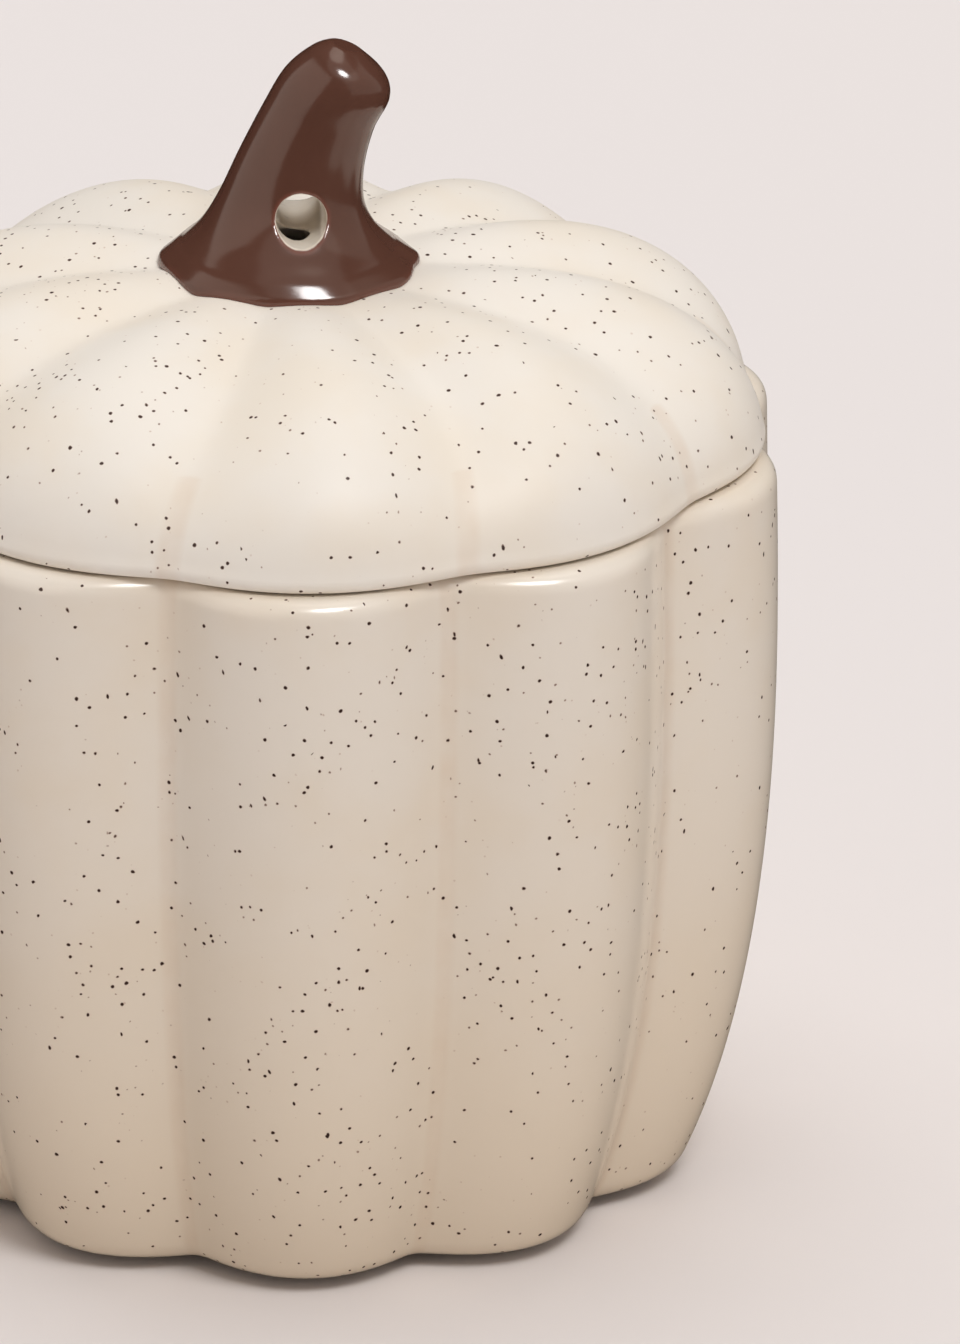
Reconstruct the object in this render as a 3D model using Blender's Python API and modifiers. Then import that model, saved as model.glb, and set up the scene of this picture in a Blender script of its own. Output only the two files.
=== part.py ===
"""Ceramic pumpkin jar with a lift-off lid.

A ten-lobed stoneware pot, a domed lid with a locating flange, a hollow stem pierced by a round vent, and
four pads under the foot. Metres, +Z up, standing on Z = 0 with the front towards -Y. Angles round the jar
are measured from the front towards +X.
"""

import math

import bmesh
import bpy
from mathutils import Vector

MM = 0.001
GAP = 0.3 * MM  # between pieces that rest on each other

# Lobes, pressed in by grooves between them
LOBES = 10
STEPS_PER_LOBE = 8
POT_TURN = math.radians(1.0)  # the front lobe's crest, from the front
POT_SOFTNESS = 0.04  # 0 gives knife-edged grooves
LID_TURN = math.radians(2.7)
LID_SOFTNESS = 0.18
LID_SKEW = math.radians(3)  # the lid's lobes are wider on one side, as they were formed by hand
LID_SKEW_FROM = math.radians(20)
LID_BEND = math.radians(5)  # and its grooves bow sideways between the rim and the stem
LID_BEND_FROM = math.radians(38)

# Pot
POT_RADIUS = 72.5 * MM  # over the lobes, where it is widest
POT_WIDEST = 89.0 * MM  # height of the widest place
POT_TOP = 114.2 * MM  # height of the flat rim that the lid rests on
POT_FOOT = 1.5 * MM  # height of the foot's flat face
POT_GROOVE = 0.098  # groove depth, as a share of the radius
SHOULDER = 3.2 * MM
MOUTH_RADIUS = 58.5 * MM
WALL = 4.5 * MM
FOOT_INNER_RADIUS = 38.0 * MM
FOOT_RECESS = 1.5 * MM
FLOOR_TOP = 7.8 * MM

# Lid
LID_BASE = POT_TOP + GAP
LID_RADIUS = 69.2 * MM  # at the rim, over the lobes
RIM_GROOVE = 2.7 * MM
RIM_ROUND = 1.8 * MM
LID_WALL = 4.3 * MM
LID_HOLE_RADIUS = 9.0 * MM
FLANGE_RADIUS = 57.0 * MM
FLANGE_WALL = 4.5 * MM
FLANGE_DEPTH = 8.0 * MM
# Bezier control points (radius, height) of the dome, from above the rim to the stem
CREST = [(68.8 * MM, 117.8 * MM), (65.5 * MM, 135.0 * MM), (42.9 * MM, 142.7 * MM), (14.5 * MM, 138.9 * MM)]
GROOVE = [(66.0 * MM, 117.8 * MM), (63.3 * MM, 129.6 * MM), (44.8 * MM, 138.1 * MM), (14.5 * MM, 138.9 * MM)]

# Stem sections from its foot to its tip: the left and the right end (x, z), and half the depth
STEM_SECTIONS = [
    ((-20.4 * MM, 139.9 * MM), (17.0 * MM, 139.7 * MM), 18.6 * MM),
    ((-17.1 * MM, 142.7 * MM), (13.6 * MM, 142.1 * MM), 14.8 * MM),
    ((-14.4 * MM, 145.8 * MM), (10.9 * MM, 145.0 * MM), 11.3 * MM),
    ((-11.9 * MM, 150.2 * MM), (9.3 * MM, 148.8 * MM), 8.8 * MM),
    ((-9.1 * MM, 156.5 * MM), (9.3 * MM, 154.3 * MM), 7.5 * MM),
    ((-5.6 * MM, 163.6 * MM), (10.8 * MM, 160.4 * MM), 7.2 * MM),
    ((-2.4 * MM, 169.2 * MM), (13.0 * MM, 164.9 * MM), 7.2 * MM),
    ((1.4 * MM, 172.5 * MM), (12.4 * MM, 168.3 * MM), 5.9 * MM),
    ((4.3 * MM, 173.8 * MM), (8.9 * MM, 172.1 * MM), 2.3 * MM),
]
STEM_Y = 1.2 * MM  # the stem stands a little behind the axis
STEM_SIDES = 32
STEM_RINGS = 20
STEM_RIDGES = 7  # soft points round the stem's foot, fading up the stem
STEM_RIDGE_HEIGHT = 0.05
FOOT_TUCK = 0.97  # the underside of the stem's foot, as a share of its width
SEAT_GAP = 0.35 * MM  # between the stem's foot and the dome
# The flue inside the stem, from its foot up into the vent: centre (x, y), height and radius
FLUE = [
    (-1.0 * MM, 1.2 * MM, 139.25 * MM, 7.5 * MM),
    (-1.1 * MM, 0.4 * MM, 140.5 * MM, 6.2 * MM),
    (-1.3 * MM, -0.9 * MM, 142.4 * MM, 4.4 * MM),
    (-1.6 * MM, -2.6 * MM, 145.0 * MM, 2.8 * MM),
    (-1.6 * MM, -3.0 * MM, 148.8 * MM, 2.5 * MM),
]
VENT_RADIUS = 3.73 * MM
VENT_X = -0.4 * MM
VENT_HEIGHT = 148.8 * MM
VENT_LENGTH = 60.0 * MM

# Pads
PADS = 4
PAD_RADIUS = 4.0 * MM
PAD_THICKNESS = POT_FOOT - GAP
PAD_CIRCLE = 43.2 * MM
PAD_EDGE = 0.35 * MM


def clear_scene():
    for obj in list(bpy.data.objects):
        bpy.data.objects.remove(obj, do_unlink=True)


def new_collection(name):
    collection = bpy.data.collections.new(name)
    bpy.context.scene.collection.children.link(collection)
    return collection


def new_material(name, color, roughness):
    material = bpy.data.materials.new(name)
    material.use_nodes = True
    shader = material.node_tree.nodes["Principled BSDF"]
    shader.inputs["Base Color"].default_value = (*color, 1.0)
    shader.inputs["Roughness"].default_value = roughness
    shader.inputs["Metallic"].default_value = 0.0
    material.diffuse_color = (*color, 1.0)
    return material


def mix(a, b, share):
    return a + (b - a) * share


def bezier(points, t):
    """The point at t on the Bezier curve of these control points."""
    points = [Vector(p) for p in points]
    while len(points) > 1:
        points = [a.lerp(b, t) for a, b in zip(points, points[1:])]
    return points[0]


def rounded(start, corner, end, count):
    """Points along a rounded corner, from start to end."""
    return [bezier((start, corner, end), i / count) for i in range(count + 1)]


def groove_share(angle, softness):
    """0 on a lobe's crest and 1 in the groove beside it."""
    across = math.cos(angle * LOBES / 2) ** 2
    return (1 - math.sqrt(across * (1 - softness) + softness)) / (1 - math.sqrt(softness))


def turned(name, rows, is_ring):
    """A mesh object turned from a profile by a Screw modifier, with the grooves still to be pressed.

    Each row is (radius, height, inward, downward), and the last two say how far a groove presses it.
    """
    mesh = bpy.data.meshes.new(name)
    verts = [(row[0], 0.0, row[1]) for row in rows]
    edges = [(i, i + 1) for i in range(len(rows) - 1)]
    if is_ring:
        edges.append((len(rows) - 1, 0))
    mesh.from_pydata(verts, edges, [])
    for attribute, column in (("inward", 2), ("downward", 3)):
        layer = mesh.attributes.new(attribute, "FLOAT", "POINT")
        for value, row in zip(layer.data, rows):
            value.value = row[column]
    obj = bpy.data.objects.new(name, mesh)
    screw = obj.modifiers.new("Turn", "SCREW")
    screw.axis = "Z"
    screw.angle = math.tau
    screw.steps = LOBES * STEPS_PER_LOBE
    screw.render_steps = screw.steps
    screw.use_merge_vertices = True
    screw.merge_threshold = 0.00001
    return obj


def finished(obj, collection, material):
    """The object with its modifiers applied, smooth shaded and linked to its collection."""
    collection.objects.link(obj)
    graph = bpy.context.evaluated_depsgraph_get()
    mesh = bpy.data.meshes.new_from_object(
        obj.evaluated_get(graph), preserve_all_data_layers=True, depsgraph=graph
    )
    obj.modifiers.clear()
    obj.data = mesh
    mesh.materials.clear()
    mesh.materials.append(material)
    mesh.shade_smooth()
    mesh.set_sharp_from_angle(angle=math.radians(40))
    return obj


def pot_angle(angle, radius):
    return angle + POT_TURN


def lid_angle(angle, radius):
    """Where the lid's lobes really lie: turned, wider on one side, and bowed halfway up the dome."""
    up_dome = (LID_RADIUS - radius) / (LID_RADIUS - CREST[-1][0])
    bow = math.sin(math.pi * min(1.0, max(0.0, up_dome)))
    skew = LID_SKEW * math.sin(angle - LID_SKEW_FROM)
    return angle + LID_TURN + skew + LID_BEND * math.cos(angle - LID_BEND_FROM) * bow


def press_grooves(obj, softness, real_angle):
    """Presses the grooves between the lobes into a turned object."""
    mesh = obj.data
    inward = mesh.attributes["inward"].data
    downward = mesh.attributes["downward"].data
    for vertex in mesh.vertices:
        x, y, z = vertex.co
        radius = math.hypot(x, y)
        angle = math.atan2(x, -y)
        share = groove_share(angle, softness)
        radius -= share * inward[vertex.index].value
        angle = real_angle(angle, radius)
        height = z - share * downward[vertex.index].value
        vertex.co = (radius * math.sin(angle), -radius * math.cos(angle), height)


def pot_side(height):
    """The pot's outer radius over a lobe's crest."""
    below = max(0.0, (POT_WIDEST - height) / POT_WIDEST)
    above = max(0.0, (height - POT_WIDEST) / (POT_TOP - POT_WIDEST))
    return POT_RADIUS * (1 - 0.135 * below**2 - 0.07 * below**5 - 0.006 * above**2)


def pot_rows():
    rows = []

    # Inside: floor, corner, wall and the underside of the shoulder
    floor_edge = pot_side(FLOOR_TOP) - WALL - 9 * MM
    wall_start = FLOOR_TOP + 9 * MM
    inner = [(0.0, FLOOR_TOP), (floor_edge * 0.6, FLOOR_TOP)]
    corner = (pot_side(FLOOR_TOP) - WALL, FLOOR_TOP)
    inner += rounded((floor_edge, FLOOR_TOP), corner, (pot_side(wall_start) - WALL, wall_start), 3)
    wall_end = POT_TOP - 16 * MM
    for i in range(1, 6):
        height = mix(wall_start, wall_end, i / 5)
        inner.append((pot_side(height) - WALL, height))
    shoulder_inside = POT_TOP - WALL
    top_corner = (pot_side(POT_TOP) - WALL, shoulder_inside)
    inner += rounded(inner[-1], top_corner, (MOUTH_RADIUS + 2 * MM, shoulder_inside), 4)[1:]
    for radius, height in inner:
        fade = min(1.0, max(0.0, (height - FLOOR_TOP) / (5 * MM)))
        if height > wall_end:
            fade = min(1.0, max(0.0, (radius - MOUTH_RADIUS - 1 * MM) / (6 * MM)))
        rows.append((radius, height, radius * POT_GROOVE * 0.9 * fade, 0.0))

    # Mouth and the flat rim
    lip = 1.2 * MM
    rows.append((MOUTH_RADIUS, shoulder_inside + lip, 0.0, 0.0))
    rows.append((MOUTH_RADIUS, POT_TOP - lip, 0.0, 0.0))
    rows.append((MOUTH_RADIUS + lip, POT_TOP, 0.0, 0.0))

    # Shoulder and side, from top to bottom
    side_top = POT_TOP - SHOULDER
    top_radius = pot_side(side_top)
    pressed = top_radius * POT_GROOVE
    shoulder = rounded((top_radius - SHOULDER, POT_TOP), (top_radius, POT_TOP), (top_radius, side_top), 4)
    rows += [(radius, height, pressed, 0.0) for radius, height in shoulder]
    side_bottom = POT_FOOT + 3 * MM
    for i in range(1, 12):
        height = mix(side_top, side_bottom, 1 - (1 - i / 11) ** 1.3)
        rows.append((pot_side(height), height, pot_side(height) * POT_GROOVE, 0.0))

    # Rounded edge, flat foot ring and the recess inside it
    pressed = pot_side(side_bottom) * POT_GROOVE
    edge = pot_side(POT_FOOT)
    under = rounded((pot_side(side_bottom), side_bottom), (edge, POT_FOOT), (edge - 3.5 * MM, POT_FOOT), 3)
    rows += [(radius, height, pressed, 0.0) for radius, height in under[1:]]
    rows.append((FOOT_INNER_RADIUS, POT_FOOT, 0.0, 0.0))
    rows.append((FOOT_INNER_RADIUS - 2 * MM, POT_FOOT + FOOT_RECESS, 0.0, 0.0))
    rows.append((0.0, POT_FOOT + FOOT_RECESS, 0.0, 0.0))
    return rows


def dome_row(t, depth):
    """One row of the dome at t, set in from its outer surface by depth."""
    points = []
    for curve in (CREST, GROOVE):
        here = bezier(curve, t)
        along = (bezier(curve, min(1.0, t + 0.01)) - bezier(curve, max(0.0, t - 0.01))).normalized()
        points.append(here + depth * Vector((-along.y, along.x)))
    crest, groove = points
    return (crest.x, crest.y, crest.x - groove.x, crest.y - groove.y)


def lid_rows():
    dome_top = CREST[-1][1]
    rows = [(LID_HOLE_RADIUS, dome_top, 0.0, 0.0)]
    steps = 11
    rows += [dome_row(1 - i / steps, 0.0) for i in range(steps + 1)]

    # Rim and the face that rests on the pot
    rim = rounded(
        (LID_RADIUS, LID_BASE + RIM_ROUND), (LID_RADIUS, LID_BASE), (LID_RADIUS - RIM_ROUND, LID_BASE), 3
    )
    rows += [(radius, height, RIM_GROOVE, 0.0) for radius, height in rim]
    rows.append((FLANGE_RADIUS + 2 * MM, LID_BASE, 0.0, 0.0))

    # Locating flange
    foot = LID_BASE - FLANGE_DEPTH
    inside = FLANGE_RADIUS - FLANGE_WALL
    edge = 1.2 * MM
    rows.append((FLANGE_RADIUS, LID_BASE - edge, 0.0, 0.0))
    rows.append((FLANGE_RADIUS, foot + edge, 0.0, 0.0))
    rows.append((FLANGE_RADIUS - edge, foot, 0.0, 0.0))
    rows.append((inside + edge, foot, 0.0, 0.0))
    rows.append((inside, foot + edge, 0.0, 0.0))
    rows.append((inside, LID_BASE + 2 * MM, 0.0, 0.0))
    rows.append((inside + 4 * MM, LID_BASE + LID_WALL, 0.0, 0.0))

    # Underside of the dome
    rows += [dome_row(0.12 + 0.88 * i / 8, LID_WALL) for i in range(9)]
    rows.append((LID_HOLE_RADIUS, dome_top - LID_WALL, 0.0, 0.0))
    return rows


def smooth_step(a, b, c, d, share):
    """From b to c, with the slope at each end taken from the values around it."""
    steep = 2 * a - 5 * b + 4 * c - d
    bent = 3 * b - a - 3 * c + d
    return b + 0.5 * ((c - a) * share + steep * share**2 + bent * share**3)


def stem_section(t):
    """Centre, half width along X and Z, and half depth of the stem's section at t, from foot to tip."""
    place = t * (len(STEM_SECTIONS) - 1)
    first = min(int(place), len(STEM_SECTIONS) - 2)
    share = place - first
    values = []
    for i in range(first - 1, first + 3):
        (left, right, depth) = STEM_SECTIONS[min(max(i, 0), len(STEM_SECTIONS) - 1)]
        values.append((*left, *right, depth))
    section = [smooth_step(*four, share) for four in zip(*values)]
    left, right = Vector(section[0:2]), Vector(section[2:4])
    return (left + right) / 2, (right - left) / 2, section[4]


def ring(bm, centre, half_width, half_depth, ridges=0.0):
    """A ring of vertices round an elliptical section whose width runs along half_width in the XZ plane."""
    verts = []
    for i in range(STEM_SIDES):
        angle = math.tau * i / STEM_SIDES
        swell = 1 + ridges * math.cos(STEM_RIDGES * angle)
        side = centre + half_width * (math.cos(angle) * swell)
        verts.append(bm.verts.new((side.x, STEM_Y + half_depth * math.sin(angle) * swell, side.y)))
    return verts


def flue_ring(bm, x, y, height, radius):
    verts = []
    for i in range(STEM_SIDES):
        angle = math.tau * i / STEM_SIDES
        verts.append(bm.verts.new((x + radius * math.cos(angle), y + radius * math.sin(angle), height)))
    return verts


def crest_height(radius):
    """The height of the dome's crest at this radius."""
    low, high = 0.0, 1.0
    while high - low > 0.0001:
        middle = (low + high) / 2
        if bezier(CREST, middle).x > radius:
            low = middle
        else:
            high = middle
    return bezier(CREST, low).y


def bridge(bm, lower, upper):
    for i in range(STEM_SIDES):
        j = (i + 1) % STEM_SIDES
        bm.faces.new((lower[i], lower[j], upper[j], upper[i]))


def make_stem(collection, material, vent):
    """A loft from the flared foot to the tip, with a flue that opens upwards into the vent."""
    bm = bmesh.new()
    foot, half_width, half_depth = stem_section(0.0)
    rings = [ring(bm, foot, half_width * FOOT_TUCK, half_depth * FOOT_TUCK, STEM_RIDGE_HEIGHT)]
    for vertex in rings[0]:
        vertex.co.z = crest_height(math.hypot(vertex.co.x, vertex.co.y)) + SEAT_GAP
    for i in range(STEM_RINGS + 1):
        t = i / STEM_RINGS
        rings.append(ring(bm, *stem_section(t), STEM_RIDGE_HEIGHT * (1 - t) ** 3))
    for lower, upper in zip(rings, rings[1:]):
        bridge(bm, lower, upper)
    bm.faces.new(rings[-1])

    flue = [flue_ring(bm, *place) for place in FLUE]
    for lower, upper in zip(flue, flue[1:]):
        bridge(bm, upper, lower)
    bm.faces.new(reversed(flue[-1]))
    bridge(bm, flue[0], rings[0])
    bmesh.ops.recalc_face_normals(bm, faces=bm.faces)

    mesh = bpy.data.meshes.new("stem")
    bm.to_mesh(mesh)
    bm.free()
    stem = bpy.data.objects.new("stem", mesh)
    cut = stem.modifiers.new("Vent", "BOOLEAN")
    cut.operation = "DIFFERENCE"
    cut.solver = "EXACT"
    cut.object = vent
    return finished(stem, collection, material)


def make_vent(cutters):
    """The round hole that goes through the stem from front to back."""
    bpy.ops.mesh.primitive_cylinder_add(
        vertices=28,
        radius=VENT_RADIUS,
        depth=VENT_LENGTH,
        location=(VENT_X, 0, VENT_HEIGHT),
        rotation=(math.pi / 2, 0, 0),
    )
    vent = bpy.context.object
    vent.name = "vent_cutter"
    for collection in list(vent.users_collection):
        collection.objects.unlink(vent)
    cutters.objects.link(vent)
    vent.hide_render = True
    vent.display_type = "WIRE"
    bpy.context.view_layer.update()
    return vent


def make_pot(collection, material):
    pot = finished(turned("pot", pot_rows(), is_ring=False), collection, material)
    press_grooves(pot, POT_SOFTNESS, pot_angle)
    return pot


def make_lid(collection, material):
    lid = finished(turned("lid", lid_rows(), is_ring=True), collection, material)
    press_grooves(lid, LID_SOFTNESS, lid_angle)
    return lid


def make_pads(collection, material):
    """Round pads under the foot ring, between the front, back and sides."""
    bm = bmesh.new()
    bmesh.ops.create_cone(
        bm, cap_ends=True, segments=24, radius1=PAD_RADIUS, radius2=PAD_RADIUS, depth=PAD_THICKNESS
    )
    mesh = bpy.data.meshes.new("foot_pad")
    bm.to_mesh(mesh)
    bm.free()
    mesh.materials.append(material)
    mesh.shade_smooth()
    mesh.set_sharp_from_angle(angle=math.radians(40))
    for i in range(PADS):
        angle = math.tau * (i + 0.5) / PADS
        pad = bpy.data.objects.new(f"foot_pad_{i + 1}", mesh)
        pad.location = (PAD_CIRCLE * math.sin(angle), -PAD_CIRCLE * math.cos(angle), PAD_THICKNESS / 2)
        edge = pad.modifiers.new("Edge", "BEVEL")
        edge.width = PAD_EDGE
        edge.segments = 1
        edge.limit_method = "ANGLE"
        collection.objects.link(pad)


def main():
    clear_scene()
    parts = new_collection("Pumpkin jar")
    cutters = new_collection("Cutters")
    cream = new_material("cream speckled glaze", (0.81, 0.71, 0.60), 0.22)
    lid_cream = new_material("cream speckled glaze, lid", (0.84, 0.76, 0.66), 0.22)
    brown = new_material("brown glaze", (0.085, 0.045, 0.035), 0.15)
    pad_grey = new_material("pad rubber", (0.45, 0.43, 0.40), 0.6)
    make_pot(parts, cream)
    make_lid(parts, lid_cream)
    make_stem(parts, brown, make_vent(cutters))
    make_pads(parts, pad_grey)


main()
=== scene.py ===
"""Looks of the ceramic pumpkin jar: glazed pot, lid and stem, unglazed foot and flange, and soft pads."""

import math
from typing import NamedTuple

import bmesh
import bpy
import numpy as np
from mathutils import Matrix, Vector
from mathutils.bvhtree import BVHTree


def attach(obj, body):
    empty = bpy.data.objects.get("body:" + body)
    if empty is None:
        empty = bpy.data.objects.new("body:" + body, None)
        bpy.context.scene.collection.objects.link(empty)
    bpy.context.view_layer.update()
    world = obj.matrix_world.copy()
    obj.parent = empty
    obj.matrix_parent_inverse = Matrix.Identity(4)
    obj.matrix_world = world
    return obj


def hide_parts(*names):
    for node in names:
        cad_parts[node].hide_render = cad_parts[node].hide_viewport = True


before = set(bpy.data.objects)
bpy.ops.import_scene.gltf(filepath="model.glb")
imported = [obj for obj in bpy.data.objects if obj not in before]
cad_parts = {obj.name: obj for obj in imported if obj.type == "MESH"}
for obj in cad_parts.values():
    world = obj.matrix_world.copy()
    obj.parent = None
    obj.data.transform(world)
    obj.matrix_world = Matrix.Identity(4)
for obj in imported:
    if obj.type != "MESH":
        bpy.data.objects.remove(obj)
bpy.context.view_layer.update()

MM = 0.001

ABOVE_ALL = 200 * MM

# Shared by the pot and the lid
LOBES = 10
AROUND = 480  # vertices round the jar
# The hand-finished surface strays this far from its true shape, but not where its grooves are shallow
STRAY = 0.16 * MM
STRAY_GROOVES = (0.5 * MM, 2.5 * MM)
FULL_GROOVE = 1.5 * MM  # the depth from which a groove has its whole tint
GLAZED = -9 * MM  # distance past the glaze's edge, for a row that lies well inside the glaze
UNGLAZED = 3 * MM  # the same for a row well out on the bare clay
FLAT_STEPS = (0.2, 0.4, 0.6, 0.8)  # rows across a flat face

# Pot
POT_TURN = math.radians(1.0)
POT_SOFTNESS = 0.02
POT_RADIUS = 72.5 * MM
POT_WIDEST = 89.0 * MM
POT_TOP = 114.2 * MM
POT_FOOT = 1.5 * MM
# Shares of its radius that the pot loses on the way down, close to its foot, and towards its top
POT_TAPER = 0.135
POT_TUCK = 0.07
POT_CLOSE = 0.006
POT_GROOVE = 0.098  # depth of a groove, as a share of the radius
INNER_GROOVE = 0.9  # depth of a groove inside, as a share of its depth outside
SHOULDER = 3.2 * MM
MOUTH_RADIUS = 58.5 * MM
MOUTH_LIP = 2.0 * MM  # roundings of the mouth, below and above
MOUTH_EDGE = 1.6 * MM
WALL = 4.5 * MM
FLOOR_TOP = 7.8 * MM
FLOOR_ROUND = 9.0 * MM
INNER_SHOULDER = 16.0 * MM
FLOOR_FADE = 5.0 * MM  # the inner grooves run out over these distances from the floor and to the mouth
MOUTH_FADE = 6.0 * MM
MOUTH_PLAIN = 1.0 * MM
FOOT_ROUND_WIDTH = 3.5 * MM
FOOT_ROUND_HEIGHT = 3.0 * MM
FOOT_INNER_RADIUS = 38.0 * MM
FOOT_RECESS = 1.5 * MM
RECESS_STEP = 1.0 * MM
RECESS_ROUND = 3.0 * MM

# Lid
LID_TURN = math.radians(2.7)
LID_SOFTNESS = 0.06
LID_SKEW = math.radians(3)
LID_SKEW_FROM = math.radians(20)
LID_BEND = math.radians(5)
LID_BEND_FROM = math.radians(38)
LID_BASE = POT_TOP + 0.3 * MM
LID_RADIUS = 69.2 * MM
RIM_GROOVE = 2.7 * MM
RIM_ROUND = 1.8 * MM
LID_WALL = 4.3 * MM
LID_HOLE_RADIUS = 9.0 * MM
HOLE_EDGE = 0.5 * MM
FLANGE_RADIUS = 57.0 * MM
FLANGE_WALL = 4.5 * MM
FLANGE_DEPTH = 8.0 * MM
FLANGE_FILLET = 1.5 * MM
FLANGE_EDGE = 1.6 * MM
FLANGE_TOP = LID_BASE + 2.0 * MM  # where the flange's inner face turns into the dome's
CEILING_ROUND = 4.0 * MM
INNER_DOME_START = 0.12  # where the dome's inner face starts on its curves
CREST = [(68.8 * MM, 117.8 * MM), (65.5 * MM, 135.0 * MM), (42.9 * MM, 142.7 * MM), (14.5 * MM, 138.9 * MM)]
GROOVE = [(66.0 * MM, 117.8 * MM), (63.3 * MM, 129.6 * MM), (44.8 * MM, 138.1 * MM), (14.5 * MM, 138.9 * MM)]
DOME_TOP = CREST[-1][1]

# Stem sections from its foot to its tip: the left and the right end (x, z), and half the depth
STEM_SECTIONS = [
    ((-20.4 * MM, 140.0 * MM), (17.0 * MM, 139.8 * MM), 18.4 * MM),
    ((-18.3 * MM, 141.8 * MM), (14.6 * MM, 141.4 * MM), 16.9 * MM),
    ((-17.1 * MM, 142.7 * MM), (13.6 * MM, 142.1 * MM), 15.9 * MM),
    ((-14.4 * MM, 145.8 * MM), (10.9 * MM, 145.0 * MM), 11.9 * MM),
    ((-11.9 * MM, 150.2 * MM), (9.3 * MM, 148.8 * MM), 8.8 * MM),
    ((-9.1 * MM, 156.5 * MM), (9.3 * MM, 154.3 * MM), 7.5 * MM),
    ((-5.6 * MM, 163.6 * MM), (10.8 * MM, 160.4 * MM), 7.2 * MM),
    ((-2.4 * MM, 169.2 * MM), (13.0 * MM, 164.9 * MM), 7.2 * MM),
    ((1.4 * MM, 172.5 * MM), (12.4 * MM, 168.3 * MM), 5.9 * MM),
    ((4.3 * MM, 173.8 * MM), (8.9 * MM, 172.1 * MM), 2.3 * MM),
]
STEM_Y = 1.2 * MM
STEM_SIDES = 160
STEM_STEPS = 90
STEM_VOXEL = 0.28 * MM
# Soft points round the stem's foot: direction from +X, how far each stands out, and its width, in degrees
STEM_POINTS = [
    (177, 0.05, 13), (-134, 0.035, 16), (-66, 0.03, 15), (-25, 0.045, 13), (5, 0.05, 9), (48, 0.04, 16),
    (92, 0.035, 18), (135, 0.045, 16),
]
STEM_DRAWN_IN = 0.02  # how far the foot's outline is drawn in between those points
# Rings where the foot meets the dome: share of the foot's outline, and height above the dome
FOOT_RINGS = [(0.90, -0.6 * MM), (0.97, -0.6 * MM), (1.0, 0.0), (1.005, 0.5 * MM)]
# The glaze runs thin near the foot's edge, up to this far above the dome, and not at all above this height
THIN_GLAZE = 1.8 * MM
THIN_GLAZE_TOP = 145.0 * MM
# The flue inside the stem, from its foot up into the vent: centre (x, y), height and radius
FLUE = [
    (-1.0 * MM, 1.2 * MM, 138.8 * MM, 7.5 * MM),
    (-1.1 * MM, 0.4 * MM, 140.5 * MM, 6.2 * MM),
    (-1.3 * MM, -0.9 * MM, 142.4 * MM, 4.4 * MM),
    (-1.6 * MM, -2.6 * MM, 145.0 * MM, 2.8 * MM),
    (-1.6 * MM, -3.0 * MM, 148.8 * MM, 2.5 * MM),
]
FLUE_STEPS = 24
VENT_RADIUS = 3.73 * MM
VENT_X = -0.4 * MM
VENT_HEIGHT = 148.4 * MM
VENT_SWING = math.radians(4)  # the vent turns to the right and slopes down towards the back
VENT_DROP = math.radians(4)

# Pads under the foot
PADS = 4
PAD_RADIUS = 4.0 * MM
PAD_ROUND = 0.3 * MM
PAD_CIRCLE = 43.2 * MM
PAD_TOP = 1.2 * MM
PAD_SIDES = 64

# Colours. A pair is the two ends of a blend.
IRON = (0.045, 0.024, 0.019, 1)
IRON_HALO = (0.32, 0.17, 0.11, 1)
FAINT_IRON = (0.42, 0.22, 0.12, 1)
GROOVE_TINT = (0.70, 0.50, 0.34, 1)
CLAY = ((0.60, 0.52, 0.43, 1), (0.72, 0.66, 0.58, 1))
CHOCOLATE = ((0.100, 0.040, 0.026, 1), (0.124, 0.054, 0.037, 1))
THIN_CHOCOLATE = (0.20, 0.075, 0.052, 1)
VENT_CHOCOLATE = (0.19, 0.066, 0.045, 1)
# Cream glaze of the vent and flue, painted lighter than the jar's cream to stand in for light inside the vent
VENT_CREAM_PAINTED_LIGHT = ((0.93, 0.86, 0.76, 1), (0.88, 0.79, 0.66, 1))
RUBBER = ((0.52, 0.50, 0.47, 1), (0.62, 0.60, 0.56, 1))
FLOOR = (0.80, 0.755, 0.74, 1)
STUDIO_AIR = (0.85, 0.80, 0.78, 1)
STUDIO_WALLS = (1.0, 0.88, 0.78)
GLAZE_IOR = 1.52

# Studio
FLOOR_HALF = 12.0
FLOOR_HEIGHT = -0.1 * MM
LAMP_TARGET = (0, 0, 0.09)
REFLECTOR_DISTANCE = 2.0
SUN_DISTANCE = 3.0

# Camera
CAMERA_PLACE = (0.0, -2.1258, 0.9444)
CAMERA_AIM = (0.0267, 0.0054, 0.0724)
CAMERA_LENS = 414.75  # mm, on a sensor 36 mm wide
CAMERA_ROLL = math.radians(0.3)


class Row(NamedTuple):
    """One ring of vertices round the jar's axis. The grooves press it inward and downward."""

    radius: float
    height: float
    inward: float = 0.0
    downward: float = 0.0
    bare: float = GLAZED  # how far it lies past the edge of the glaze


def mix(a, b, share):
    return a + (b - a) * share


def clamped(x):
    return min(1.0, max(0.0, x))


def smooth(x, low, high):
    """0 below low and 1 above high, with a smooth step between."""
    t = np.clip((x - low) / (high - low), 0, 1)
    return t * t * (3 - 2 * t)


def bezier(points, t):
    points = [Vector(p) for p in points]
    while len(points) > 1:
        points = [a.lerp(b, t) for a, b in zip(points, points[1:])]
    return points[0]


def rounded(start, corner, end, count):
    return [bezier((start, corner, end), i / count) for i in range(count + 1)]


def groove_share(angle, softness):
    """0 on a lobe's crest and 1 in the groove beside it."""
    across = np.cos(angle * LOBES / 2) ** 2
    return (1 - np.sqrt(across * (1 - softness) + softness)) / (1 - math.sqrt(softness))


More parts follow.
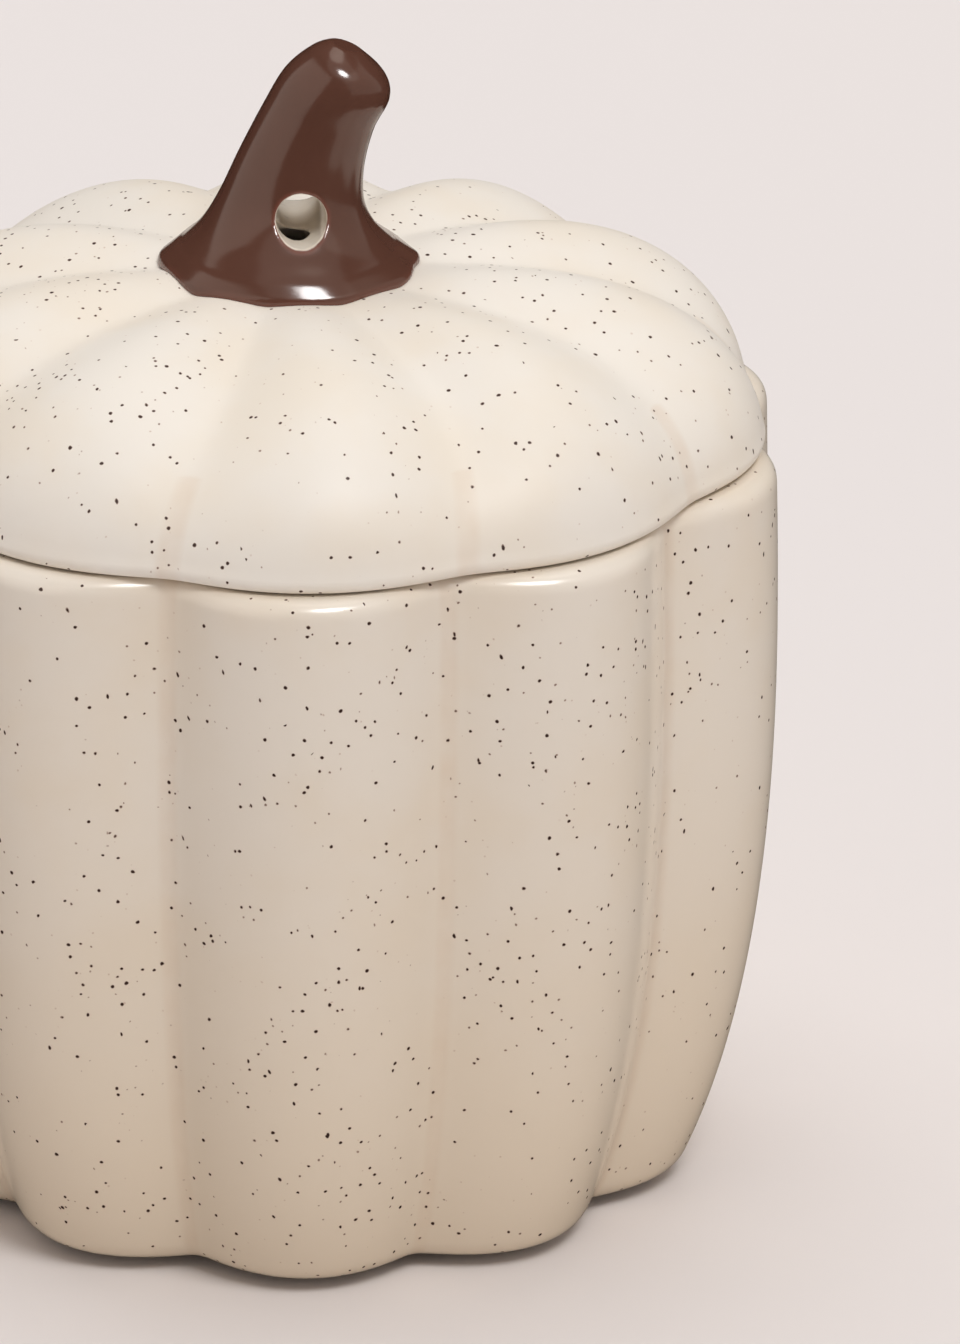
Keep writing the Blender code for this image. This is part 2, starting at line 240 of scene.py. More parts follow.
def unevenness(angle, height, seed):
    """Slow waves over a hand-finished surface, from -1 to 1."""
    waves = np.sin(3 * angle + 55 * height + seed) + np.sin(7 * angle - 38 * height + 2.1 * seed)
    waves += np.sin(2 * angle - 90 * height + 3.3 * seed) + np.sin(11 * angle + 70 * height + 0.7 * seed)
    return waves / 4


# Meshes

def add_object(name, data):
    obj = bpy.data.objects.new(name, data)
    bpy.context.scene.collection.objects.link(obj)
    return obj


def link(name, mesh, material, body, node):
    obj = add_object(name, mesh)
    mesh.materials.append(material)
    mesh.shade_smooth()
    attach(obj, body)
    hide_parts(node)
    return obj


def store(mesh, name, values):
    """Keeps one value for each vertex, which a material reads by this name."""
    layer = mesh.attributes.new(name, "FLOAT", "POINT")
    layer.data.foreach_set("value", np.asarray(values, dtype=np.float32).ravel())


def turned_faces(on_axis, around):
    """Faces from each row to the next and from the last to the first. A row on the axis is a single point."""
    faces = []
    for i in range(len(on_axis)):
        k = (i + 1) % len(on_axis)
        if on_axis[i] and on_axis[k]:
            continue
        for j in range(around):
            n = (j + 1) % around
            here = (i * around,) if on_axis[i] else (i * around + j, i * around + n)
            there = (k * around,) if on_axis[k] else (k * around + n, k * around + j)
            faces.append(here + there)
    return faces


def turned_mesh(name, rows, around, softness, real_angle, seed):
    """A closed mesh turned from rows, with its grooves pressed in and its surface a little uneven."""
    true_radius, true_height, inward, downward, bare = (column[:, None] for column in np.array(rows).T)
    angles = np.linspace(-math.pi, math.pi, around, endpoint=False)
    share = groove_share(angles, softness)[None, :]
    radius = true_radius - share * inward
    height = true_height - share * downward
    angle = real_angle(angles[None, :], radius)
    free = smooth(inward, *STRAY_GROOVES)
    radius = radius + STRAY * free * unevenness(angle, height, seed)
    points = np.stack([radius * np.sin(angle), -radius * np.cos(angle), height], axis=2).reshape(-1, 3)

    mesh = bpy.data.meshes.new(name)
    mesh.from_pydata(points.tolist(), [], turned_faces([row.radius == 0.0 for row in rows], around))
    store(mesh, "groove", share * np.clip(inward / FULL_GROOVE, 0, 1))
    store(mesh, "bare", np.repeat(bare, around, axis=1))
    shape = bmesh.new()
    shape.from_mesh(mesh)
    bmesh.ops.delete(shape, geom=[v for v in shape.verts if not v.link_faces], context="VERTS")
    bmesh.ops.recalc_face_normals(shape, faces=shape.faces)
    shape.to_mesh(mesh)
    shape.free()
    return mesh


def glaze_edge(path, start, end, inward=0.0):
    """Rows along a path that crosses the edge of the glaze, from start to end past it."""
    count = len(path) - 1
    return [
        Row(radius, height, inward, bare=mix(start, end, i / count))
        for i, (radius, height) in enumerate(path)
    ]


def pot_side(height):
    below = max(0.0, (POT_WIDEST - height) / POT_WIDEST)
    above = max(0.0, (height - POT_WIDEST) / (POT_TOP - POT_WIDEST))
    return POT_RADIUS * (1 - POT_TAPER * below**2 - POT_TUCK * below**5 - POT_CLOSE * above**2)


def pot_inside():
    """The floor, the wall and the underside of the shoulder, from the middle of the floor to the mouth."""
    floor_edge = pot_side(FLOOR_TOP) - WALL - FLOOR_ROUND
    wall_start = FLOOR_TOP + FLOOR_ROUND
    wall_end = POT_TOP - INNER_SHOULDER
    shoulder = POT_TOP - WALL
    path = [(floor_edge * i / 6, FLOOR_TOP) for i in range(6)]
    corner = (pot_side(FLOOR_TOP) - WALL, FLOOR_TOP)
    path += rounded((floor_edge, FLOOR_TOP), corner, (pot_side(wall_start) - WALL, wall_start), 10)
    for i in range(1, 21):
        height = mix(wall_start, wall_end, i / 20)
        path.append((pot_side(height) - WALL, height))
    top_corner = (pot_side(POT_TOP) - WALL, shoulder)
    path += rounded(path[-1], top_corner, (MOUTH_RADIUS + MOUTH_LIP, shoulder), 14)[1:]
    rows = []
    for radius, height in path:
        fade = clamped((height - FLOOR_TOP) / FLOOR_FADE)
        if height > wall_end:
            fade = clamped((radius - MOUTH_RADIUS - MOUTH_PLAIN) / MOUTH_FADE)
        rows.append(Row(radius, height, radius * POT_GROOVE * INNER_GROOVE * fade))
    return rows


def pot_rim():
    """The rounded mouth, the flat rim under the lid and the rounded shoulder."""
    low = POT_TOP - WALL
    edge_start = POT_TOP - MOUTH_EDGE
    rim_start = MOUTH_RADIUS + MOUTH_EDGE
    mouth = rounded(
        (MOUTH_RADIUS + MOUTH_LIP, low), (MOUTH_RADIUS, low), (MOUTH_RADIUS, low + MOUTH_LIP), 6,
    )[1:]
    mouth += rounded((MOUTH_RADIUS, edge_start), (MOUTH_RADIUS, POT_TOP), (rim_start, POT_TOP), 6)
    rows = [Row(radius, height) for radius, height in mouth]
    side_top = POT_TOP - SHOULDER
    outer = pot_side(side_top)
    pressed = outer * POT_GROOVE
    shoulder = rounded((outer - SHOULDER, POT_TOP), (outer, POT_TOP), (outer, side_top), 12)
    for share in FLAT_STEPS:
        rows.append(Row(mix(rim_start, shoulder[0].x, share), POT_TOP, pressed * share))
    rows += [Row(radius, height, pressed) for radius, height in shoulder]
    return rows


def pot_outside():
    """The side from the shoulder down, in rows that close up towards the foot."""
    rows = []
    for i in range(1, 91):
        share = 1 - (1 - i / 90) ** 1.15
        height = mix(POT_TOP - SHOULDER, POT_FOOT + FOOT_ROUND_HEIGHT, share)
        rows.append(Row(pot_side(height), height, pot_side(height) * POT_GROOVE))
    return rows


def pot_foot():
    """The rounded lower edge, the wiped foot ring and the glazed recess inside it."""
    side_bottom = POT_FOOT + FOOT_ROUND_HEIGHT
    pressed = pot_side(side_bottom) * POT_GROOVE
    corner = pot_side(POT_FOOT)
    ring_start = corner - FOOT_ROUND_WIDTH
    edge = rounded((pot_side(side_bottom), side_bottom), (corner, POT_FOOT), (ring_start, POT_FOOT), 10)
    rows = glaze_edge(edge, -4 * MM, 1.2 * MM, pressed)[1:]
    for share in (*FLAT_STEPS, 1.0):
        radius = mix(ring_start, FOOT_INNER_RADIUS, share)
        rows.append(Row(radius, POT_FOOT, pressed * (1 - share), bare=UNGLAZED))
    recess = POT_FOOT + FOOT_RECESS
    step_down = rounded(
        (FOOT_INNER_RADIUS, POT_FOOT),
        (FOOT_INNER_RADIUS - RECESS_STEP, recess),
        (FOOT_INNER_RADIUS - RECESS_ROUND, recess),
        6,
    )
    rows += glaze_edge(step_down, 1.5 * MM, -1.5 * MM)[1:]
    rows += [Row(FOOT_INNER_RADIUS * share, recess) for share in (*reversed(FLAT_STEPS), 0.0)]
    return rows


def pot_angle(angle, _radius):
    return angle + POT_TURN


def make_pot(material):
    rows = pot_inside() + pot_rim() + pot_outside() + pot_foot()
    mesh = turned_mesh("jar_pot", rows, AROUND, POT_SOFTNESS, pot_angle, seed=1.0)
    link("jar_pot", mesh, material, "pot", "pot")


def dome_row(t, depth=0.0):
    """A row of the dome at t, from its rim to its middle, or of its inner face at a depth below it."""
    points = []
    before, after = clamped(t - 0.01), clamped(t + 0.01)
    for curve in (CREST, GROOVE):
        along = (bezier(curve, after) - bezier(curve, before)).normalized()
        points.append(bezier(curve, t) + depth * Vector((-along.y, along.x)))
    crest, groove = points
    return Row(crest.x, crest.y, crest.x - groove.x, crest.y - groove.y)


def lid_dome(steps=80):
    """The hole's upper edge, the flat round it and the dome, from the middle out."""
    rows = [Row(LID_HOLE_RADIUS, DOME_TOP - HOLE_EDGE), Row(LID_HOLE_RADIUS + HOLE_EDGE, DOME_TOP)]
    rows += [Row(mix(LID_HOLE_RADIUS, CREST[-1][0], share), DOME_TOP) for share in (0.4, 0.7)]
    rows += [dome_row(1 - i / steps) for i in range(steps)]
    return rows


def lid_rim():
    """From the dome's edge, round the rim with its even grooves, to the bare face that rests on the pot."""
    start = dome_row(0.0)
    resting = LID_RADIUS - RIM_ROUND
    edge = rounded((LID_RADIUS, LID_BASE + RIM_ROUND), (LID_RADIUS, LID_BASE), (resting, LID_BASE), 8)
    rows = []
    for share in (0.0, 0.25, 0.5, 0.75):
        radius = mix(start.radius, edge[0].x, share)
        height = mix(start.height, edge[0].y, share)
        rows.append(Row(radius, height, mix(start.inward, RIM_GROOVE, share)))
    rows += glaze_edge(edge, -4 * MM, 0.3 * MM, RIM_GROOVE)
    for share in FLAT_STEPS:
        radius = mix(resting, FLANGE_RADIUS + FLANGE_FILLET, share)
        rows.append(Row(radius, LID_BASE, RIM_GROOVE * (1 - share), bare=UNGLAZED))
    return rows


def lid_flange():
    """The unglazed locating flange, down its outer face and round its edge."""
    foot = LID_BASE - FLANGE_DEPTH
    fillet_end = LID_BASE - FLANGE_FILLET
    inside = FLANGE_RADIUS - FLANGE_WALL
    path = rounded(
        (FLANGE_RADIUS + FLANGE_FILLET, LID_BASE), (FLANGE_RADIUS, LID_BASE), (FLANGE_RADIUS, fillet_end), 4,
    )
    path += [(FLANGE_RADIUS, mix(fillet_end, foot + FLANGE_EDGE, share)) for share in (0.35, 0.7)]
    path += rounded(
        (FLANGE_RADIUS, foot + FLANGE_EDGE), (FLANGE_RADIUS, foot), (FLANGE_RADIUS - FLANGE_EDGE, foot), 5,
    )
    path += rounded((inside + FLANGE_EDGE, foot), (inside, foot), (inside, foot + FLANGE_EDGE), 5)
    return [Row(radius, height, bare=UNGLAZED) for radius, height in path]


def lid_inside(steps=40):
    """The flange's inner face, where the glaze starts, and the underside of the dome up to the hole."""
    inside = FLANGE_RADIUS - FLANGE_WALL
    ceiling = LID_BASE + LID_WALL
    foot = LID_BASE - FLANGE_DEPTH + FLANGE_EDGE
    path = [(inside, mix(foot, FLANGE_TOP, share)) for share in (0.25, 0.5, 0.75)]
    path += rounded((inside, FLANGE_TOP), (inside, ceiling), (inside + CEILING_ROUND, ceiling), 5)
    rows = [
        Row(radius, height, bare=mix(UNGLAZED, -5 * MM, i / len(path)))
        for i, (radius, height) in enumerate(path)
    ]
    for i in range(steps + 1):
        rows.append(dome_row(INNER_DOME_START + (1 - INNER_DOME_START) * i / steps, LID_WALL))
    rows.append(Row(LID_HOLE_RADIUS, DOME_TOP - LID_WALL))
    return rows


def lid_angle(angle, radius):
    """The lid's lobes are uneven in width and bow to one side on their way up the dome."""
    up_dome = (LID_RADIUS - radius) / (LID_RADIUS - CREST[-1][0])
    bow = np.sin(math.pi * np.clip(up_dome, 0, 1))
    skew = LID_SKEW * np.sin(angle - LID_SKEW_FROM)
    return angle + LID_TURN + skew + LID_BEND * np.cos(angle - LID_BEND_FROM) * bow


def make_lid(material):
    rows = lid_dome() + lid_rim() + lid_flange() + lid_inside()
    mesh = turned_mesh("jar_lid", rows, AROUND, LID_SOFTNESS, lid_angle, seed=2.0)
    return link("jar_lid", mesh, material, "lid", "lid")


def find_section(sections, t):
    """Which section comes before t, from 0 at the first to 1 at the last, and how far t is past it."""
    place = t * (len(sections) - 1)
    first = min(int(place), len(sections) - 2)
    return first, place - first


def spline(a, b, c, d, share):
    """The curve from b to c, sloped at each end by the values around it."""
    square = (2 * a - 5 * b + 4 * c - d) * share**2
    cube = (3 * b - a - 3 * c + d) * share**3
    return 0.5 * (2 * b + (c - a) * share + square + cube)


def stem_section(t):
    """The stem's section at t, from its foot to its tip: centre and half width (x, z), and half depth."""
    first, share = find_section(STEM_SECTIONS, t)
    values = []
    for i in range(first - 1, first + 3):
        left, right, depth = STEM_SECTIONS[min(max(i, 0), len(STEM_SECTIONS) - 1)]
        values.append((*left, *right, depth))
    section = [spline(*four, share) for four in zip(*values)]
    left, right = Vector(section[0:2]), Vector(section[2:4])
    return (left + right) / 2, (right - left) / 2, section[4]


def stem_swell(angle, fade):
    total = 0.0
    for direction, out, width in STEM_POINTS:
        apart = (math.degrees(angle) - direction + 180) % 360 - 180
        total += out * math.exp(-((apart / width) ** 2))
    return 1 + (total - STEM_DRAWN_IN) * fade


def dome_below(surface, x, y):
    """The height of the lid's surface at x, y, or of its top over the hole in its middle."""
    hit = surface.ray_cast(Vector((x, y, ABOVE_ALL)), Vector((0, 0, -1)))[0]
    return hit.z if hit else DOME_TOP


def stem_ring(shape, centre, half_width, half_depth, fade):
    verts = []
    for i in range(STEM_SIDES):
        angle = math.tau * i / STEM_SIDES
        swell = stem_swell(angle, fade)
        side = centre + half_width * (math.cos(angle) * swell)
        verts.append(shape.verts.new((side.x, STEM_Y + half_depth * math.sin(angle) * swell, side.y)))
    return verts


def flue_at(t):
    first, share = find_section(FLUE, t)
    return [mix(a, b, share) for a, b in zip(FLUE[first], FLUE[first + 1])]


def flue_ring(shape, x, y, height, radius):
    verts = []
    for i in range(STEM_SIDES):
        angle = math.tau * i / STEM_SIDES
        verts.append(shape.verts.new((x + radius * math.cos(angle), y + radius * math.sin(angle), height)))
    return verts


def bridge(shape, lower, upper):
    for i in range(STEM_SIDES):
        j = (i + 1) % STEM_SIDES
        shape.faces.new((lower[i], lower[j], upper[j], upper[i]))


def stem_loft(dome):
    """The stem's outside from its flared foot on the dome to its tip, with the flue inside it."""
    shape = bmesh.new()
    foot, half_width, half_depth = stem_section(0.0)
    rings = []
    for share, lift in FOOT_RINGS:
        ring = stem_ring(shape, foot, half_width * share, half_depth * share, 1.0)
        for vertex in ring:
            vertex.co.z = dome_below(dome, vertex.co.x, vertex.co.y) + lift
        rings.append(ring)
    for i in range(1, STEM_STEPS + 1):
        t = i / STEM_STEPS
        rings.append(stem_ring(shape, *stem_section(t), (1 - t) ** 3))
    for lower, upper in zip(rings, rings[1:]):
        bridge(shape, lower, upper)
    shape.faces.new(rings[-1])
    flue = [flue_ring(shape, *flue_at(i / FLUE_STEPS)) for i in range(FLUE_STEPS + 1)]
    for lower, upper in zip(flue, flue[1:]):
        bridge(shape, upper, lower)
    shape.faces.new(reversed(flue[-1]))
    bridge(shape, flue[0], rings[0])
    bmesh.ops.recalc_face_normals(shape, faces=shape.faces)
    mesh = bpy.data.meshes.new("rough_stem")
    shape.to_mesh(mesh)
    shape.free()
    return add_object("rough_stem", mesh)


def make_drill():
    """A rod where the vent goes, to be cut from the stem."""
    shape = bmesh.new()
    bmesh.ops.create_cone(
        shape, cap_ends=True, segments=96, radius1=VENT_RADIUS, radius2=VENT_RADIUS, depth=60 * MM,
    )
    mesh = bpy.data.meshes.new("drill")
    shape.to_mesh(mesh)
    shape.free()
    drill = add_object("drill", mesh)
    drill.location = (VENT_X, 0, VENT_HEIGHT)
    drill.rotation_euler = (math.radians(90) - VENT_DROP, 0, VENT_SWING)
    return drill


def make_stem(material, dome):
    """The stem's loft with the vent cut through it and every edge softened."""
    rough = stem_loft(dome)
    drill = make_drill()
    cut = rough.modifiers.new("Vent", "BOOLEAN")
    cut.operation = "DIFFERENCE"
    cut.solver = "EXACT"
    cut.object = drill
    even = rough.modifiers.new("Even", "REMESH")
    even.mode = "VOXEL"
    even.voxel_size = STEM_VOXEL
    soften = rough.modifiers.new("Soften", "SMOOTH")
    soften.factor = 0.5
    soften.iterations = 6
    graph = bpy.context.evaluated_depsgraph_get()
    mesh = bpy.data.meshes.new_from_object(rough.evaluated_get(graph))
    bpy.data.objects.remove(rough)
    bpy.data.objects.remove(drill)
    mesh.name = "jar_stem"
    return link("jar_stem", mesh, material, "lid", "stem")


def mark_stem(stem, dome):
    """Stores where the stem's surface is inside the flue, and where its glaze runs thin."""
    flue = [flue_at(i / 40) for i in range(41)]
    inside, thin = [], []
    for vertex in stem.data.vertices:
        x, y, z = vertex.co
        flue_x, flue_y, _, radius = min(flue, key=lambda step: abs(step[2] - z))
        in_flue = z < FLUE[-1][2] and math.hypot(x - flue_x, y - flue_y) < radius + 0.5 * MM
        inside.append(1.0 if in_flue else 0.0)
        low = z < THIN_GLAZE_TOP
        thin.append(clamped(1 - (z - dome_below(dome, x, y)) / THIN_GLAZE) if low else 0.0)
    store(stem.data, "inside", inside)
    store(stem.data, "thin", thin)


def make_pads(material):
    top = rounded(
        (PAD_RADIUS - PAD_ROUND, PAD_TOP), (PAD_RADIUS, PAD_TOP), (PAD_RADIUS, PAD_TOP - PAD_ROUND), 4,
    )
    bottom = rounded((PAD_RADIUS, PAD_ROUND), (PAD_RADIUS, 0.0), (PAD_RADIUS - PAD_ROUND, 0.0), 4)
    rows = [Row(radius, height) for radius, height in [(0.0, PAD_TOP), *top, *bottom, (0.0, 0.0)]]
    for i in range(PADS):
        angle = math.tau * (i + 0.5) / PADS
        name = f"pad_{i + 1}"
        mesh = turned_mesh(name, rows, PAD_SIDES, POT_SOFTNESS, pot_angle, seed=0.0)
        for vertex in mesh.vertices:
            vertex.co.x += PAD_CIRCLE * math.sin(angle)
            vertex.co.y -= PAD_CIRCLE * math.cos(angle)
        link(name, mesh, material, "pot", f"foot_pad_{i + 1}")


# Materials

class Nodes:
    """Builds one material's nodes."""

    def __init__(self, name):
        self.material = bpy.data.materials.new(name)
        self.material.use_nodes = True
        self.tree = self.material.node_tree
        self.shader = self.tree.nodes["Principled BSDF"]

    def set(self, node, socket, value):
        if isinstance(value, bpy.types.NodeSocket):
            self.tree.links.new(value, node.inputs[socket])
        else:
            node.inputs[socket].default_value = value

    def set_shader(self, **values):
        """Sets the shader's sockets, each named with _ in place of a space."""
        for socket, value in values.items():
            self.set(self.shader, socket.replace("_", " "), value)

    def add(self, kind, values, **settings):
        node = self.tree.nodes.new("ShaderNode" + kind)
        for name, value in settings.items():
            setattr(node, name, value)
        for socket, value in values.items():
            self.set(node, socket, value)
        return node

    def math(self, operation, a, b=0.0, clamp=False):
        return self.add("Math", {0: a, 1: b}, operation=operation, use_clamp=clamp).outputs[0]

    def plus(self, a, b, clamp=False):
        return self.math("ADD", a, b, clamp)

    def minus(self, a, b):
        return self.math("SUBTRACT", a, b)

    def times(self, a, b):
        return self.math("MULTIPLY", a, b)

    def vector(self, operation, values):
        return self.add("VectorMath", values, operation=operation).outputs[0]

    def position(self):
        return self.add("TexCoord", {}).outputs["Object"]

    def noise(self, position, size, detail=2.0, output="Fac"):
        """Noise round 0.5 whose features are about size across."""
        return self.add("TexNoise", {"Vector": position, "Scale": 1 / size, "Detail": detail}).outputs[output]

    def step(self, value, low, high):
        return self.add("MapRange", {0: value, 1: low, 2: high}, interpolation_type="SMOOTHSTEP").outputs[0]

    def blend(self, share, a, b):
        return self.add("Mix", {0: share, 6: a, 7: b}, data_type="RGBA").outputs[2]

    def attribute(self, name):
        return self.add("Attribute", {}, attribute_name=name).outputs["Fac"]

    def bump(self, height, strength=1.0):
        """A normal for a relief whose height is in metres."""
        return self.add("Bump", {"Height": height, "Strength": strength, "Distance": 1.0}).outputs[0]

    def place(self, position, shift, turn, stretch=(1, 1, 1)):
        values = {"Vector": position, "Location": shift, "Rotation": turn, "Scale": stretch}
        return self.add("Mapping", values).outputs[0]

    def specks(self, position, cell, radius, share):
        """0 to 1 inside round specks, one in each of a share of the cells, and each cell's tone."""
        voronoi = self.add("TexVoronoi", {"Vector": position, "Scale": 1 / cell})
        pick = self.add("SeparateColor", {0: voronoi.outputs["Color"]})
        sizes = {0: pick.outputs[0], 1: 0.0, 2: 1.0, 3: 0.75 * radius / cell, 4: radius / cell}
        size = self.add("MapRange", sizes).outputs[0]
        inside = self.minus(size, voronoi.outputs["Distance"])
        soft = self.math("DIVIDE", inside, self.times(size, 0.45), clamp=True)
        there = self.math("LESS_THAN", pick.outputs[1], share)
        return self.times(soft, there), pick.outputs[2]


def iron_specks(n, place):
    """Where the dark specks are, which gather in clusters, and where the faint ones are."""
    wobble = n.vector("SUBTRACT", {0: n.noise(place, 0.9 * MM, 1.0, "Color"), 1: (0.5, 0.5, 0.5)})
    ragged = n.vector("ADD", {0: place, 1: n.vector("SCALE", {0: wobble, "Scale": 0.35 * MM})})
    cluster = n.step(n.noise(place, 16 * MM), 0.36, 0.66)
    share = n.times(n.plus(cluster, 0.32), 0.62)
    round_specks = n.specks(ragged, cell=1.75 * MM, radius=0.37 * MM, share=share)[0]
    stretched = n.place(ragged, (0.5, 0.1, 0.3), (0.9, 0.4, 1.3), (1.0, 1.0, 0.5))
    long_specks = n.specks(stretched, cell=2.2 * MM, radius=0.30 * MM, share=n.times(share, 0.5))[0]
    apart = n.place(ragged, (0.2, 0.7, 0.4), (0.1, 1.2, 0.2))
    faint_specks, tone = n.specks(apart, cell=1.9 * MM, radius=0.22 * MM, share=0.5)
    return n.math("MAXIMUM", round_specks, long_specks), n.times(faint_specks, n.times(tone, 0.45))


def cream_tints(n, place, cream, painted_foot_shade):
    """Cream that is a little warmer in patches and in the grooves, and darker and warmer towards the foot as
    painted shade.
    """
    warm = (cream[0] * 0.985, cream[1] * 0.955, cream[2] * 0.91, 1)
    color = n.blend(n.step(n.noise(place, 22 * MM, 3.0), 0.35, 0.7), (*cream, 1), warm)
    height = n.add("SeparateXYZ", {0: n.position()}).outputs[2]
    # Painted shade: the cream turns darker and warmer from 105 mm down to the foot.
    color = n.blend(n.step(height, 105 * MM, 0.0), color, (*painted_foot_shade, 1))
    groove = n.step(n.attribute("groove"), 0.93, 1.0)
    return n.blend(n.times(groove, n.times(n.noise(place, 5 * MM), 0.35)), color, GROOVE_TINT)


def glaze(name, cream, painted_foot_shade, roughness, specular, seed):
    """Cream glaze with iron specks, with a slightly wavy edge to pale clay. seed moves its pattern."""
    n = Nodes(name)
    place = n.place(n.position(), (seed, seed * 1.7, seed * 0.6), (0.3, 0.2, 0.5))
    dark, faint = iron_specks(n, place)
    color = n.blend(faint, cream_tints(n, place, cream, painted_foot_shade), FAINT_IRON)
    color = n.blend(n.times(n.step(dark, 0.0, 0.6), 0.75), color, IRON_HALO)
    color = n.blend(n.step(dark, 0.35, 1.0), color, IRON)

    wavy = n.times(n.minus(n.noise(place, 6 * MM), 0.5), 3 * MM)
    bare = n.step(n.plus(n.attribute("bare"), wavy), -0.15 * MM, 0.25 * MM)
    grain = n.noise(place, 0.6 * MM, 3.0)
    uneven = n.plus(n.times(n.noise(place, 9 * MM), 0.06), roughness - 0.03)
    relief = n.plus(n.times(n.noise(place, 7 * MM), 0.05 * MM), n.times(dark, 0.02 * MM))
    relief = n.plus(relief, n.times(n.times(grain, bare), 0.10 * MM))
    n.set_shader(
        Base_Color=n.blend(bare, color, n.blend(grain, *CLAY)),
        Roughness=n.plus(uneven, n.times(bare, 0.6), clamp=True),
        Normal=n.bump(relief, 0.6),
        IOR=GLAZE_IOR,
        Specular_IOR_Level=specular,
    )
    return n.material


def stem_glaze():
    """Chocolate glaze outside, thin and redder on the edges, with cream glaze in the vent and the flue,
    painted lighter than the jar's cream as painted light.
    """
    n = Nodes("stem_glaze")
    place = n.position()
    x, y, z = n.add("SeparateXYZ", {0: place}).outputs
    across = n.minus(n.plus(x, n.times(y, math.tan(VENT_SWING))), VENT_X)
    up = n.minus(n.plus(z, n.times(y, math.tan(VENT_DROP))), VENT_HEIGHT)
    away = n.math("SQRT", n.plus(n.math("POWER", across, 2.0), n.math("POWER", up, 2.0)))
    away = n.plus(away, n.times(n.minus(n.noise(place, 2.5 * MM), 0.5), 0.3 * MM))
    out_of_vent = n.step(away, VENT_RADIUS + 0.02 * MM, VENT_RADIUS + 0.22 * MM)
    out_of_flue = n.minus(1.0, n.attribute("inside"))
    thick = n.step(away, VENT_RADIUS + 0.1 * MM, VENT_RADIUS + 0.9 * MM)

    brown = n.blend(n.noise(place, 9 * MM, 3.0), *CHOCOLATE)
    thin = n.step(n.attribute("thin"), 0.25, 1.0)
    brown = n.blend(n.times(thin, 0.6), brown, THIN_CHOCOLATE)
    brown = n.blend(thick, VENT_CHOCOLATE, brown)
    # Painted light: the vent's cream is lighter than the jar's own cream.
    cream = n.blend(n.noise(place, 1.5 * MM), *VENT_CREAM_PAINTED_LIGHT)
    n.set_shader(
        Base_Color=n.blend(n.times(out_of_vent, out_of_flue), cream, brown),
        Roughness=0.16,
        Normal=n.bump(n.times(n.noise(place, 5 * MM), 0.05 * MM), 0.5),
        IOR=GLAZE_IOR,
    )
    return n.material


def rubber():
    n = Nodes("pad_rubber")
    grain = n.noise(n.position(), 0.25 * MM, 3.0)
    n.set_shader(
        Base_Color=n.blend(grain, *RUBBER),
        Roughness=n.plus(n.times(grain, 0.2), 0.5),
        Normal=n.bump(n.times(grain, 0.04 * MM)),
    )
    return n.material


# Studio

def make_floor():
    corners = [(-1, -1), (1, -1), (1, 1), (-1, 1)]
    mesh = bpy.data.meshes.new("floor")
    mesh.from_pydata([(x * FLOOR_HALF, y * FLOOR_HALF, FLOOR_HEIGHT) for x, y in corners], [], [(0, 1, 2, 3)])
    floor = add_object("floor", mesh)
    n = Nodes("floor")
    n.set_shader(Base_Color=FLOOR, Roughness=0.7, Specular_IOR_Level=0.2)
    mesh.materials.append(n.material)
    floor.visible_glossy = False


def aim_lamp(lamp, azimuth, elevation, distance):
    """Places a lamp at azimuth, in degrees from the front towards +X, and elevation, facing the jar."""
    a, e = math.radians(azimuth), math.radians(elevation)
    direction = Vector((math.sin(a) * math.cos(e), -math.cos(a) * math.cos(e), math.sin(e)))
    lamp.location = Vector(LAMP_TARGET) + direction * distance
    lamp.rotation_euler = direction.to_track_quat("Z", "Y").to_euler()
    lamp.visible_camera = False


def softbox(name, azimuth, elevation, distance, size, power, shape="RECTANGLE"):
    light = bpy.data.lights.new(name, "AREA")
    light.shape = shape
    light.size, light.size_y = size
    light.energy = power
    lamp = add_object(name, light)
    aim_lamp(lamp, azimuth, elevation, distance)
    return lamp


def reflector(name, azimuth, elevation, size, brightness, shape="RECTANGLE"):
    """A panel that shows in the gloss only."""
    power = math.pi * size[0] * size[1] * brightness
    lamp = softbox(name, azimuth, elevation, REFLECTOR_DISTANCE, size, power, shape)
    lamp.data.color = STUDIO_WALLS
    lamp.visible_diffuse = False


def sunlight(name, azimuth, elevation, spread, power):
    """A far round lamp, spread degrees wide as the jar sees it."""
    light = bpy.data.lights.new(name, "SUN")
    light.angle = math.radians(spread)
    light.energy = power
    lamp = add_object(name, light)
    aim_lamp(lamp, azimuth, elevation, SUN_DISTANCE)
    return lamp


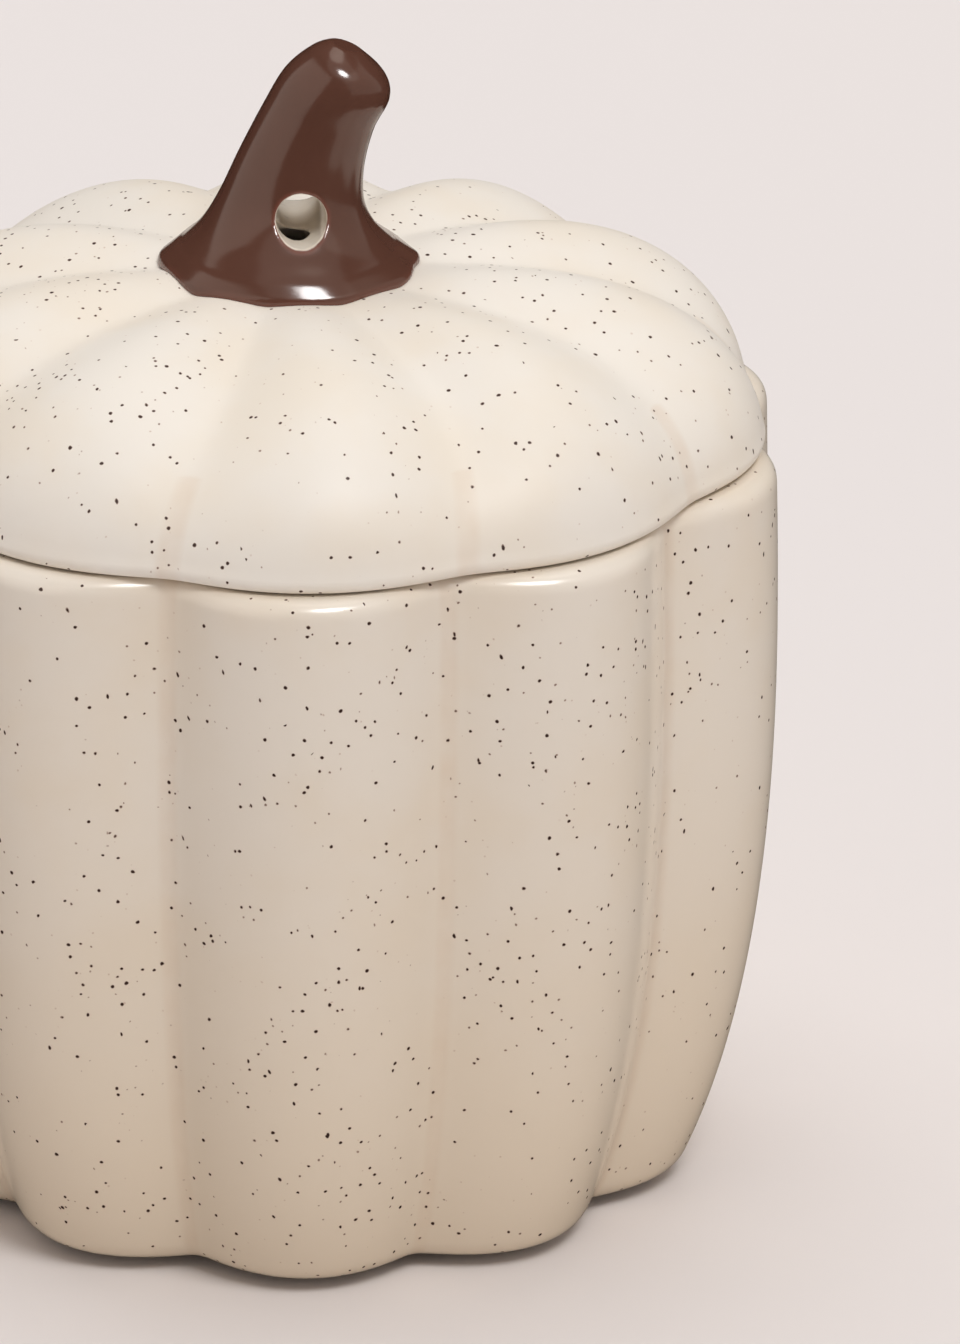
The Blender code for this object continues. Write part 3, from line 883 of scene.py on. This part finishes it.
def make_world():
    world = bpy.data.worlds.new("studio")
    bpy.context.scene.world = world
    world.use_nodes = True
    background = world.node_tree.nodes["Background"]
    background.inputs["Color"].default_value = STUDIO_AIR
    background.inputs["Strength"].default_value = 0.47
    world.cycles_visibility.glossy = False


def make_studio():
    """A soft key and top light that give the shading, and a glint and reflectors that give the gloss."""
    make_floor()
    make_world()
    key = sunlight("key", azimuth=28, elevation=57, spread=20, power=1.25)
    key.visible_glossy = False
    glint = sunlight("glint", azimuth=28, elevation=57, spread=22, power=3.2)
    glint.visible_diffuse = False
    top = softbox("top", azimuth=190, elevation=70, distance=4.0, size=(4.0, 4.0), power=64, shape="DISK")
    top.visible_glossy = False
    reflector("top_glow", azimuth=157, elevation=73, size=(1.0, 1.0), brightness=1.4, shape="DISK")
    reflector("high_wall", azimuth=40, elevation=68, size=(2.6, 2.6), brightness=0.40, shape="DISK")
    reflector("left_wall", azimuth=-72, elevation=25, size=(3.8, 2.4), brightness=1.0)
    reflector("right_wall", azimuth=70, elevation=25, size=(4.2, 2.4), brightness=0.50)


def make_camera():
    data = bpy.data.cameras.new("camera")
    data.sensor_width = 36
    data.lens = CAMERA_LENS
    data.clip_end = 60
    camera = add_object("camera", data)
    camera.location = CAMERA_PLACE
    aim = Vector(CAMERA_AIM) - camera.location
    camera.rotation_euler = aim.to_track_quat("-Z", "Y").to_euler()
    camera.rotation_euler.rotate_axis("Z", CAMERA_ROLL)
    bpy.context.scene.camera = camera


def main():
    bpy.context.scene.view_settings.view_transform = "Standard"
    make_camera()
    make_studio()
    # The pot's low colour is painted shade that darkens it towards the foot; the lid's equals its cream, so
    # it has none.
    pot_cream = {"cream": (0.86, 0.785, 0.685), "painted_foot_shade": (0.82, 0.70, 0.55)}
    lid_cream = {"cream": (0.87, 0.815, 0.735), "painted_foot_shade": (0.87, 0.815, 0.735)}
    make_pot(glaze("pot_glaze", **pot_cream, roughness=0.24, specular=0.5, seed=0.31))
    lid = make_lid(glaze("lid_glaze", **lid_cream, roughness=0.48, specular=0.2, seed=0.83))
    dome = BVHTree.FromObject(lid, bpy.context.evaluated_depsgraph_get())
    mark_stem(make_stem(stem_glaze(), dome), dome)
    make_pads(rubber())


main()
